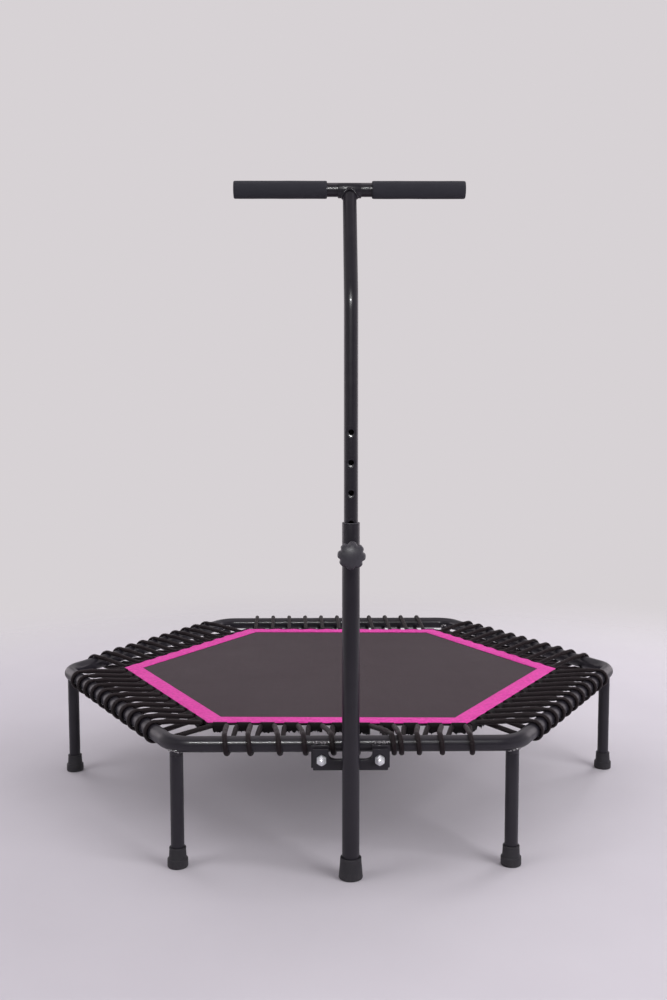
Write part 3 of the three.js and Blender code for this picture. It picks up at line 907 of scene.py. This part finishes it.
def knob(plastic):
    """A lobed hand knob: reach from the post's middle, radius and depth of its notches, ring by ring."""
    levels = [
        (0.0440, 0.0060, 0), (0.0345, 0.0060, 0), (0.0345, 0.0105, 0), (0.0352, 0.0112, 0),
        (0.0362, 0.0170, 0.0010), (0.0364, 0.0215, 0.0026), (0.0371, 0.0238, 0.0034),
        (0.0384, 0.0248, NOTCH_DEPTH), (0.0405, 0.0250, NOTCH_DEPTH),
    ]
    rim, crown_start, crown = 0.0250, 0.0445, 0.0155
    for degrees in range(0, 90, 6):
        angle = math.radians(degrees)
        depth = NOTCH_DEPTH * math.cos(angle) ** 5
        levels.append((crown_start + crown * math.sin(angle), rim * math.cos(angle), depth))
    levels.append((crown_start + crown, 0.0003, 0))

    def notch(angle):
        return (0.5 - 0.5 * math.cos(LOBES * (angle + LOBE_TURN))) ** 3

    rings = []
    for reach, radius, depth in levels:
        rings.append(
            ring_of(lock_place, facing_front, reach, LOBES * 16, lambda a: radius - depth * notch(a)))
    return piece_of("lobed_knob", Skin().rings(rings), plastic, "lock_knob", 50)


# ---------- sliding handle ----------


def handle_path(step):
    """The upper tube's centre line, from inside the post, round the bend and up to the bar."""
    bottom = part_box("upper_tube")[0].z
    arc_start = BEND_HEIGHT - BEND_RADIUS * math.tan(LEAN / 2)
    path = [on_post(bottom), on_post(arc_start)]
    arc_steps = 16
    for k in range(1, arc_steps + 1):
        angle = LEAN * k / arc_steps
        back = Vector((0, BEND_RADIUS * (1 - math.cos(angle)), 0))
        path.append(on_post(arc_start + BEND_RADIUS * math.sin(angle)) + back)
    up = Vector((0, math.sin(LEAN), math.cos(LEAN)))
    path.append(bar_middle - up * (HANDLE_RADIUS + 0.0004))
    return spaced(path, step)


def hole_heights():
    return [lock_height + k * HOLE_PITCH for k in range(HOLE_COUNT)]


def dimpled(point):
    """Pulls a point on the tube's front in, where a hole was pressed through the wall."""
    if point.y > post_axis.y:
        return point
    for height in hole_heights():
        distance = math.hypot(point.x - post_axis.x, point.z - height)
        if distance < DIMPLE_RADIUS:
            depth = DIMPLE_DEPTH * (1 - (distance / DIMPLE_RADIUS) ** 4) ** 1.5
            return point + Vector((0, depth, 0))
    return point


def upper_tube(paint):
    path = handle_path(0.0016)
    side = Vector((1, 0, 0))
    walls = []
    for radius in (HANDLE_RADIUS, HANDLE_RADIUS - WALL):
        rings = []
        for point, tangent in zip(path, path_tangents(path)):
            up = tangent.cross(side)
            rings.append([dimpled(point + side * a + up * b) for a, b in circle(radius, 72)])
        walls.append(rings)
    skin = Skin().rings(walls[0] + walls[1][::-1], closed=True)
    tube = piece_of("handle_tube", skin, paint, "handle")
    cut(tube, [drill(height, paint) for height in hole_heights()])
    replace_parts(tube, "upper_tube")


def crossbar(paint, foam, plastic):
    inner = HANDLE_RADIUS - WALL
    low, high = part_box("crossbar")
    half = (high.x - low.x) / 2
    along_bar = Matrix.Rotation(math.pi / 2, 3, "Y")
    pipe = wall(inner, HANDLE_RADIUS, -half, half, 0.0005)
    bar = turned_piece("bar_tube", pipe, bar_middle, paint, along_bar, 64, True, "handle")
    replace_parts(bar, "crossbar")
    spigot, head = inner - GAP, half + GAP
    plug = profile([
        (0, head - 0.018), (spigot, head - 0.018), (spigot, head), (HANDLE_RADIUS - 0.0002, head),
        (HANDLE_RADIUS - 0.0012, head + 0.0025), (0, head + 0.0025),
    ], 0.0005)
    for name, side in (("left", -1), ("right", 1)):
        turn = Matrix.Rotation(side * math.pi / 2, 3, "Y")
        grip_low, grip_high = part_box(f"grip_{name}")
        ends = sorted(abs(x - bar_middle.x) for x in (grip_low.x, grip_high.x))
        grip = piece_of(f"foam_grip_{name}", foam_sleeve(*ends, turn, side), foam, "handle", 60)
        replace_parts(grip, f"grip_{name}")
        stopper = turned_piece(f"bar_stopper_{name}", plug, bar_middle, plastic, turn, 40, body="handle")
        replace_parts(stopper, f"bar_plug_{name}")


def foam_sleeve(inner_end, outer_end, turn, side):
    """A foam tube with soft ends and the shallow hollows that hands have pressed."""
    bore = HANDLE_RADIUS + GAP
    outline = [Vector((*point, 0)) for point in wall(bore, GRIP_RADIUS, inner_end, outer_end, 0.0030, 6)]
    line = spaced(outline + outline[:1], 0.0022)[:-1]

    def pressed_in(angle):
        if radial <= bore + 0.001:
            return radial
        place = (1.5 * math.cos(angle), 1.5 * math.sin(angle), height * 28 + side * 7)
        return radial + 0.00022 * noise.noise(Vector(place))

    rings = []
    for radial, height, _ in line:
        rings.append(ring_of(bar_middle, turn, height, 64, pressed_in))
    return Skin().rings(rings, closed=True)


def saddle(paint):
    """The curved plate under the bar and the welds that hold the tube to it."""
    half_wrap, half_width = math.radians(105), 0.0215
    inner = HANDLE_RADIUS + GAP
    shell = inner + SADDLE_THICKNESS
    mid = inner + SADDLE_THICKNESS / 2
    tilt = Matrix.Rotation(-LEAN, 3, "X")
    arc_steps = 36
    outline = []
    for radius, order in ((shell, 1), (inner, -1)):
        for k in range(arc_steps + 1):
            angle = -math.pi / 2 + order * half_wrap * (2 * k / arc_steps - 1)
            outline.append(Vector((0, radius * math.cos(angle), radius * math.sin(angle))))
    rings = []
    widths = [
        (-half_width, 0.6), (-half_width + 0.0008, 0.1), (half_width - 0.0008, 0.1), (half_width, 0.6),
    ]
    for x, pinch in widths:
        ring = []
        for point in outline:
            shrunk = mid + (point.length - mid) * (1 - pinch)
            ring.append(bar_middle + tilt @ (point * (shrunk / point.length) + Vector((x, 0, 0))))
        rings.append(ring)
    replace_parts(piece_of("saddle_plate", Skin().rings(rings), paint, "handle"), "bar_saddle")

    seam = []
    for x, y in circle(HANDLE_RADIUS + 0.0006, 120):
        drop = math.sqrt(shell**2 - min(abs(y), shell * 0.93) ** 2)
        seam.append(bar_middle + tilt @ Vector((x, y, -drop)))
    beads = weld_bead(Skin(), seam, SADDLE_WELD, closed=True, seed=5)
    for side in (-1, 1):
        toe = bar_middle + tilt @ Vector((side * (HANDLE_RADIUS + 0.0022), -0.004, -shell * 0.9))
        start = toe + tilt @ Vector((0, -0.005, 0.0045))
        end = toe + tilt @ Vector((side * 0.0012, 0.007, -0.0010))
        straight_weld(beads, start, end, PLATE_WELD, side * 4)
    piece_of("saddle_welds", beads, paint, "handle")


# ---------- mat ----------


def flat_out(corner):
    """The distance from the middle to a side of a hexagon whose corners are `corner` away."""
    return corner * math.cos(STEP / 2)


border_outer = flat_out(MAT_CORNER)
border_inner = flat_out(BORDER_INNER_CORNER)
border_width = border_outer - border_inner


def loop_shift(side):
    return FRONT_LOOP_SHIFT if side == FRONT_SIDE else LOOP_SHIFT


def loop_place(side, j):
    return (j - (LOOPS - 1) / 2) * LOOP_PITCH + loop_shift(side)


def pull(side, along):
    """1 where a webbing loop pulls the mat's edge out, and -1 half way between two loops."""
    return math.cos(2 * math.pi * (along - loop_shift(side)) / LOOP_PITCH)


def hexagon_ring(out, height, per_side, edge_wave=0.0, ripple=0.0):
    """A closed ring of points on a hexagon, twisted with the mat, waved where the loops pull."""
    ring = []
    for side in range(SIDES):
        for j in range(per_side):
            share = 2 * j / per_side - 1
            along = share * out * math.tan(STEP / 2)
            fade = 1 - abs(share) ** 6
            outer = out + edge_wave * pull(side, along) * fade
            lift = ripple * pull(side, along) * fade
            ring.append(side_point(side, along, outer, height + lift, TWIST))
    return ring


def mat_panel(fabric):
    edge = border_outer - 0.0012
    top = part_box("mat_panel")[1].z
    per_side, rows = 84, 26
    outs = [edge * (1 - (k / rows) ** 1.35) for k in range(rows + 1)]

    def layer(height):
        rings = []
        for out in outs:
            to_edge = edge - out
            ripple = 0.00045 * math.exp(-to_edge / 0.035)
            sag = -0.0012 * max(0.0, 1 - (out / edge) ** 2)
            under_border = GAP if to_edge < border_width else 0.0
            wave = 0.0008 * math.exp(-to_edge / 0.01)
            rings.append(hexagon_ring(out, height + sag - under_border, per_side, wave, ripple))
        return rings

    skin = Skin().rings(layer(top)[::-1] + layer(top - MAT_THICKNESS + GAP))
    panel = piece_of("jumping_mat", skin, fabric, "mat", 60)
    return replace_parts(panel, "mat_panel")


def border(fabric, thread):
    """The coated strip sewn round the mat: mitred corners, two rows of stitches, a wavy outer edge."""
    low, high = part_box("mat_border")
    width = border_width
    top = high.z - 0.0001
    per_side, rows = 126, 22

    def crown(across):
        """The strip's height above its stitched lines."""
        depth = 0.0
        for line in (STITCH_INSET, width - STITCH_INSET):
            depth += 0.00045 * math.exp(-(((across - line) / 0.0013) ** 2))
        swell = 0.0003 * math.sin(math.pi * across / width)
        edge_drop = 0.0009 * (math.exp(-across / 0.0007) + math.exp(-(width - across) / 0.0007))
        return swell - depth - edge_drop

    def strip_ring(across, height):
        pulled = (across / width) ** 2
        out = border_inner + across
        return hexagon_ring(out, height, per_side, EDGE_WAVE * pulled, EDGE_RIPPLE * pulled)

    rings = []
    for k in range(rows + 1):
        across = width * (0.5 - 0.5 * math.cos(math.pi * k / rows))
        rings.append(strip_ring(across, top + crown(across)))
    for across in (width, width * 0.5, 0.0):
        rings.append(strip_ring(across, low.z))
    skin = Skin().rings(rings, closed=True)
    strip = piece_of("border_strip", skin, fabric, "mat", 60)
    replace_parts(strip, "mat_border")

    seams = Skin()
    for across in (STITCH_INSET, width - STITCH_INSET):
        out = border_inner + across
        half = out * math.tan(STEP / 2)
        count = int(2 * half / STITCH_PITCH)
        for side in range(SIDES):
            for n in range(count):
                along = (n + 0.5 - count / 2) * (2 * half / count)
                pulled = (across / width) ** 2 * pull(side, along)
                height = top + crown(across) + EDGE_RIPPLE * pulled
                stitch(seams, side, along, out + EDGE_WAVE * pulled, height)
    stitching = piece_of("border_stitches", seams, thread, "mat", 60)
    return strip, stitching


def stitch(skin, side, along, out, height):
    """One stitch of thread that thins and sinks at both ends."""
    stations = [
        (-1, 0.45, 0.0004), (-0.6, 1.0, 0.0), (0.0, 1.05, -0.0001), (0.6, 1.0, 0.0), (1, 0.45, 0.0004),
    ]
    rings = []
    for share, swell, sink in stations:
        centre = along + share * STITCH_LENGTH / 2
        ring = []
        for a, b in circle(THREAD_RADIUS * swell, 6):
            ring.append(side_point(side, centre, out + a, height + b - sink + 0.0001, TWIST))
        rings.append(ring)
    skin.rings(rings)


# ---------- webbing and lacing ----------


def frayed(point):
    """Webbing's ragged edge: the lower the point, the more it strays."""
    sag = max(0.0, CORD_HEIGHT - point.z)
    stray = noise.noise(point * 210) + 0.6 * noise.noise(point * 620)
    return point + Vector((0, 0, 0.55 * sag * stray))


def webbing_strip(side, weave):
    """The strip sewn under one edge of the mat, with its eleven loops round the cord."""
    skin = Skin()
    low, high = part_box("loop_band_1")
    section = wall(WEBBING_INNER, WEBBING_OUTER, low.z, high.z - 0.0002, 0.0006)
    rings = []
    steps = 24
    for k in range(steps + 1):
        share = 2 * k / steps - 1
        ring = []
        for out, height in section:
            half = out * math.tan(STEP / 2) - 0.001
            ring.append(side_point(side, share * half, out, height, TWIST))
        rings.append(ring)
    skin.rings(rings)

    thickness = WEBBING_THICKNESS
    hug = CORD_RADIUS + thickness / 2 + 0.0001
    shelf = low.z - thickness / 2 - 0.0001
    rnd = random.Random(side)
    strands, bend_steps = 12, 21
    flat = [(LOOP_WIDTH * (k / strands - 0.5), -thickness / 2) for k in range(strands + 1)]
    flat += [(width, thickness / 2) for width, _ in flat[::-1]]
    along_side = side_point(side, 1, 0, 0, TWIST) - side_point(side, 0, 0, 0, TWIST)
    for j in range(LOOPS):
        # From the mat's underside over and round the cord, slack below it, and back.
        hang = rnd.uniform(0.0040, 0.0085)
        route = [(0.424, shelf), (0.438, shelf)]
        for k in range(bend_steps + 1):
            angle = math.radians(118 - 238 * k / bend_steps)
            droop = hang if math.sin(angle) < 0 else 0.0
            route.append((CORD_OUT + hug * math.cos(angle), CORD_HEIGHT + (hug + droop) * math.sin(angle)))
        route += [(0.436, shelf - 0.0085), (0.424, shelf - thickness - 0.0001)]
        place = loop_place(side, j)
        path = [side_point(side, place, out, height, TWIST) for out, height in rounded(route, 0.002, 2)]
        skin.sweep(path, flat, along_side)
    skin.points = [frayed(point) for point in skin.points]
    piece = piece_of(f"webbing_{side + 1}", skin, weave, "mat", 50)
    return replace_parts(piece, f"loop_band_{side + 1}")


def wrap_place(side, j):
    if side == FRONT_SIDE:
        return FRONT_WRAPS[j]
    return (j - (LOOPS - 1) / 2) * WRAP_PITCH


def mat_end(side, j, end):
    """One end, -1 or 1, of the cord's run inside loop j."""
    return side_point(side, loop_place(side, j) + end * CORD_RUN, CORD_OUT, CORD_HEIGHT, TWIST)


def lacing_route(side):
    """Through a loop of the mat, over, round and under the frame's tube, and on to the next loop."""
    gap = Vector((CORD_OUT - apothem, CORD_HEIGHT - hub.z))
    slope = math.atan2(gap.y, gap.x) % (2 * math.pi)
    spread = math.acos(WRAP_RADIUS / gap.length)
    first, last = slope - spread, slope + spread - 2 * math.pi
    route = [mat_end(side, 0, -0.7)]
    corners = []
    for j in range(LOOPS):
        if j:
            corners.append(len(route))
            route.append(mat_end(side, j, -1))
        corners.append(len(route))
        route.append(mat_end(side, j, 1))
        steps = 14
        for step in range(steps + 1):
            share = step / steps
            turn = first + (last - first) * share
            along = wrap_place(side, j) + WRAP_LEAD * (2 * share - 1)
            out = apothem + WRAP_RADIUS * math.cos(turn)
            route.append(side_point(side, along, out, hub.z + WRAP_RADIUS * math.sin(turn)))
    following = (side + 1) % SIDES
    corners.append(len(route))
    route.append(mat_end(following, 0, -1))
    route.append(mat_end(following, 0, -0.72))
    return softened(route, corners, 0.0095)


def softened(route, corners, radius):
    """The route with a curve at each listed corner."""
    result = []
    for i, point in enumerate(route):
        if i in corners:
            result += rounded([route[i - 1], point, route[i + 1]], radius, 6)[1:-1]
        else:
            result.append(point)
    return result


def pressed(point):
    """A point of a cord, drawn in towards the frame's tube where the tight cord flattens on it."""
    heading = math.atan2(point.y - hub.y, point.x - hub.x)
    side = math.floor(heading / STEP)
    outward = side_point(side, 0, 1, 0) - side_point(side, 0, 0, 0)
    out = (point - hub).dot(outward) - apothem
    rise = point.z - hub.z
    reach = math.hypot(out, rise)
    gap = reach - TUBE_RADIUS
    if gap > 4 * CORD_RADIUS:
        return point
    fade = min(1.0, (4 * CORD_RADIUS - gap) / (2 * CORD_RADIUS))
    share = 1 - CORD_PRESS * min(gap, 2 * CORD_RADIUS) * fade / reach
    return point + outward * out * (share - 1) + Vector((0, 0, rise * (share - 1)))


def bungee_cord(side, sheath):
    path = spaced(lacing_route(side), 0.0032)
    skin = Skin().sweep(path, circle(CORD_RADIUS, 14))
    skin.points = [pressed(point) for point in skin.points]
    piece = piece_of(f"bungee_{side + 1}", skin, sheath, None, 80)
    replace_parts(piece, f"bungee_cord_{side + 1}")
    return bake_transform(piece)


def mat():
    panel = mat_panel(jumping_fabric())
    strip, stitching = border(coated_border(), border_thread())
    weave, sheath = webbing(), braided_sheath()
    for side in range(SIDES):
        webbing_strip(side, weave)
        bungee_cord(side, sheath)


# ---------- stage ----------


def floor():
    """A pale floor that fades into the backdrop's colour away from the object."""
    mesh = bpy.data.meshes.new("floor")
    work = bmesh.new()
    bmesh.ops.create_circle(work, cap_ends=True, radius=6.0, segments=96)
    work.to_mesh(mesh)
    work.free()
    piece = added("floor", mesh)
    finish = Finish("pale_floor", Roughness=0.6, Specular_IOR_Level=0.0)
    finish.colour(finish.noise(3.0, 5.0), (0.58, 0.545, 0.60), (0.64, 0.605, 0.66))
    distance = finish.node("VectorMath", {0: finish.place}, operation="LENGTH").outputs["Value"]
    fade = finish.span(distance, 1.15, 2.6, ease="SMOOTHSTEP")
    clear = finish.node("BsdfTransparent")
    mix = finish.node("MixShader", {0: fade, 1: finish.shader.outputs[0], 2: clear.outputs[0]})
    finish.feed(finish.tree.nodes["Material Output"].inputs["Surface"], mix.outputs[0])
    mesh.materials.append(finish.material)


def backdrop():
    """A pale room. The object's surfaces see it dimmer overhead and towards the front."""
    world = bpy.data.worlds.new("pale_room")
    world.use_nodes = True
    nodes = Nodes(world.node_tree)
    pale = (0.68, 0.645, 0.665)
    _, y, z = nodes.parts(nodes.node("TexCoord").outputs["Generated"])
    walls = nodes.blend(nodes.span(y, -1.0, 0.1, ease="SMOOTHSTEP"), (0.15, 0.14, 0.155), pale)
    room = nodes.tree.nodes["Background"]
    nodes.feed(room.inputs["Color"], walls)
    nodes.feed(room.inputs["Strength"], nodes.span(z, 0.38, 0.85, 1.0, 0.3, ease="SMOOTHSTEP"))
    plain = nodes.node("Background", {"Color": (*pale, 1.0)})
    seen_directly = nodes.node("LightPath").outputs["Is Camera Ray"]
    mix = nodes.node("MixShader", {0: seen_directly, 1: room.outputs[0], 2: plain.outputs[0]})
    nodes.feed(nodes.tree.nodes["World Output"].inputs["Surface"], mix.outputs[0])
    bpy.context.scene.world = world


def lamp(name, place, target, size, power, shines=True, mirrored=True, tint=(1.0, 1.0, 1.0)):
    """An area light. `shines` lets it light dull surfaces and `mirrored` lets glossy ones show it."""
    data = bpy.data.lights.new(name, "AREA")
    data.shape = "RECTANGLE"
    data.size, data.size_y = size
    data.energy = power
    data.color = tint
    light = added(name, data)
    light.location = place
    light.rotation_euler = (target - light.location).to_track_quat("-Z", "Y").to_euler()
    light.visible_diffuse = shines
    light.visible_glossy = mirrored


def lights():
    """Windows that light the object from all round, and glows and a strip that its tubes mirror."""
    under = Vector((hub.x, hub.y, 0.0))
    windows = [
        ("front_right_window", (2.7, -2.4, 1.7), (2.2, 1.6), 88),
        ("front_left_window", (-2.9, -1.7, 1.6), (1.8, 1.4), 30),
        ("back_right_window", (2.7, 2.4, 1.6), (2.0, 1.4), 66),
        ("back_left_window", (-2.7, 2.4, 1.6), (2.0, 1.4), 38),
        ("ceiling", (0.0, 0.0, 3.2), (2.6, 2.2), 30),
    ]
    for name, place, size, power in windows:
        lamp(name, place, under, size, power, mirrored=False)
    glows = [
        ("left_glow", (-3.0, 2.3, 1.0), (2.6, 1.8), 18),
        ("right_glow", (3.0, 2.3, 1.0), (2.6, 1.8), 18),
        ("ceiling_glow", (0.0, 0.5, 3.1), (4.0, 3.2), 32),
    ]
    for name, place, size, power in glows:
        lamp(name, place, under, size, power, shines=False, tint=(1.0, 0.9, 0.96))
    front = Vector((hub.x, hub.y - apothem, 0.24))
    lamp("strip", (-0.28, hub.y - 2.75, 2.05), front, (1.1, 0.14), 62, shines=False)


def camera():
    """The photograph's view: from the handle's side, a little left of its middle, looking slightly down."""
    data = bpy.data.cameras.new("camera")
    data.sensor_width = 36.0
    data.lens = 39.23
    view = added("camera", data)
    yaw, pitch, roll = 0.0120, 0.0896, 0.0009
    view.location = (hub.x - 0.0446, hub.y - 2.5451, 0.8751)
    turn = Matrix.Rotation(-yaw, 3, "Z") @ Matrix.Rotation(math.pi / 2 - pitch, 3, "X")
    view.rotation_euler = (turn @ Matrix.Rotation(-roll, 3, "Z")).to_euler()
    bpy.context.scene.camera = view


def main():
    paint, weld = powder_coat(), painted_weld()
    plating, plastic = plated_steel(), moulded_plastic()
    tread, foam = rubber(), grip_foam()
    frame_ring(paint)
    legs(paint, weld, tread)
    bracket(paint, weld, plating)
    post(paint, weld, tread, plastic)
    lock(plating, plastic)
    upper_tube(paint)
    crossbar(paint, foam, plastic)
    saddle(paint)
    mat()
    floor()
    backdrop()
    lights()
    camera()
    bpy.context.scene.view_settings.view_transform = "Standard"


main()
